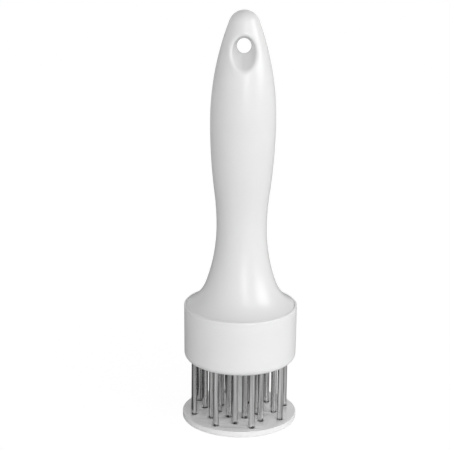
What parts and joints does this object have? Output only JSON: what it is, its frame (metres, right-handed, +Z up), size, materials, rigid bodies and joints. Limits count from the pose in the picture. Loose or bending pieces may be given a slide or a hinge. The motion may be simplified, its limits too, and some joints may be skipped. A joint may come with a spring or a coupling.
{
  "type": "blade meat tenderizer",
  "caption": "Hand meat tenderizer: steel blades under a round barrel, a sprung guard plate that slides up the blades, and a swept white grip with a hanging hole.",
  "frame": {"origin": "middle of the guard plate's underside, on which the tool stands", "axes": "+Z up along the tool to the tip of the grip, +Y along the hanging hole"},
  "size_m": [0.053, 0.053, 0.1934],
  "materials": {
    "handle_plastic": "gloss",
    "barrel_plastic": "gloss",
    "retainer_plastic": "matte",
    "guard_plastic": "satin",
    "post_plastic": "satin",
    "screw_steel": "plated",
    "spring_steel": "drawn",
    "blade_steel": "polished"
  },
  "bodies": {
    "tool": {"handle": "handle_plastic", "barrel": "barrel_plastic", "blade_retainer": "retainer_plastic", "blade_outer_1": "blade_steel", "blade_outer_2": "blade_steel", "blade_outer_3": "blade_steel", "blade_outer_4": "blade_steel", "blade_outer_5": "blade_steel", "blade_outer_6": "blade_steel", "blade_outer_7": "blade_steel", "blade_outer_8": "blade_steel", "blade_middle_1": "blade_steel", "blade_middle_2": "blade_steel", "blade_middle_3": "blade_steel", "blade_middle_4": "blade_steel", "blade_middle_5": "blade_steel", "blade_middle_6": "blade_steel", "blade_middle_7": "blade_steel", "blade_middle_8": "blade_steel", "blade_inner_1": "blade_steel", "blade_inner_2": "blade_steel", "blade_inner_3": "blade_steel", "blade_inner_4": "blade_steel", "blade_inner_5": "blade_steel", "blade_inner_6": "blade_steel", "blade_inner_7": "blade_steel", "blade_inner_8": "blade_steel", "return_spring": "spring_steel"},
    "guard": {"guard_plate": "guard_plastic", "guide_post": "post_plastic", "post_screw": "screw_steel"}
  },
  "joints": [
    {"name": "guard_slide", "type": "slide", "parent": "tool", "child": "guard", "axis": [0, 0, 1], "range_m": [0, 0.026], "stiffness_N_per_m": 1200, "springref_m": -0.006, "deforming": ["return_spring"]}
  ]
}
